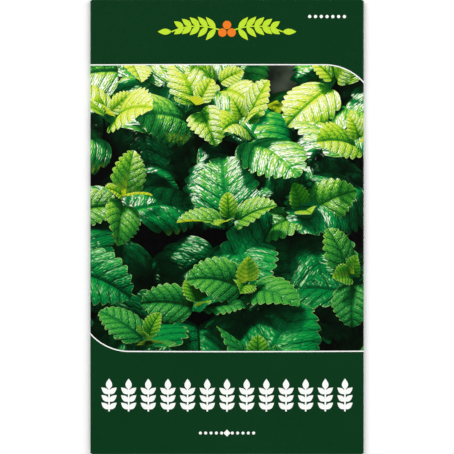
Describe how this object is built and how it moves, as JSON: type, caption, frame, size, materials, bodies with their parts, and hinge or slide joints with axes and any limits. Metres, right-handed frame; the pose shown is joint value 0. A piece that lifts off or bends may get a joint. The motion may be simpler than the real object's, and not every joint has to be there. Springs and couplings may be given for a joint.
{
  "type": "seed packet",
  "caption": "Flat folded paper packet with a leafy herb print, glued flaps and a heat-sealed sachet of seeds inside, lying on its back.",
  "frame": {"origin": "on the surface the packet lies on, under the middle of its back", "axes": "+Y up the packet towards its top fold, +X to the right as its front is read, +Z out of its front"},
  "size_m": [0.09, 0.15, 0.0034],
  "materials": {
    "printed_paper": "satin-coated printed paper, dark green",
    "dried_glue": "thin film of dried adhesive",
    "foil_paper": "foil-lined sachet paper, dull side out",
    "seed_coat": "dry dark brown nutlets"
  },
  "bodies": {
    "root": {"envelope": "printed_paper", "side_seam_glue": "dried_glue", "bottom_flap_glue": "dried_glue", "top_flap_glue": "dried_glue", "sachet_back_web": "foil_paper", "sachet_front_web": "foil_paper", "seeds": "seed_coat"}
  },
  "joints": []
}
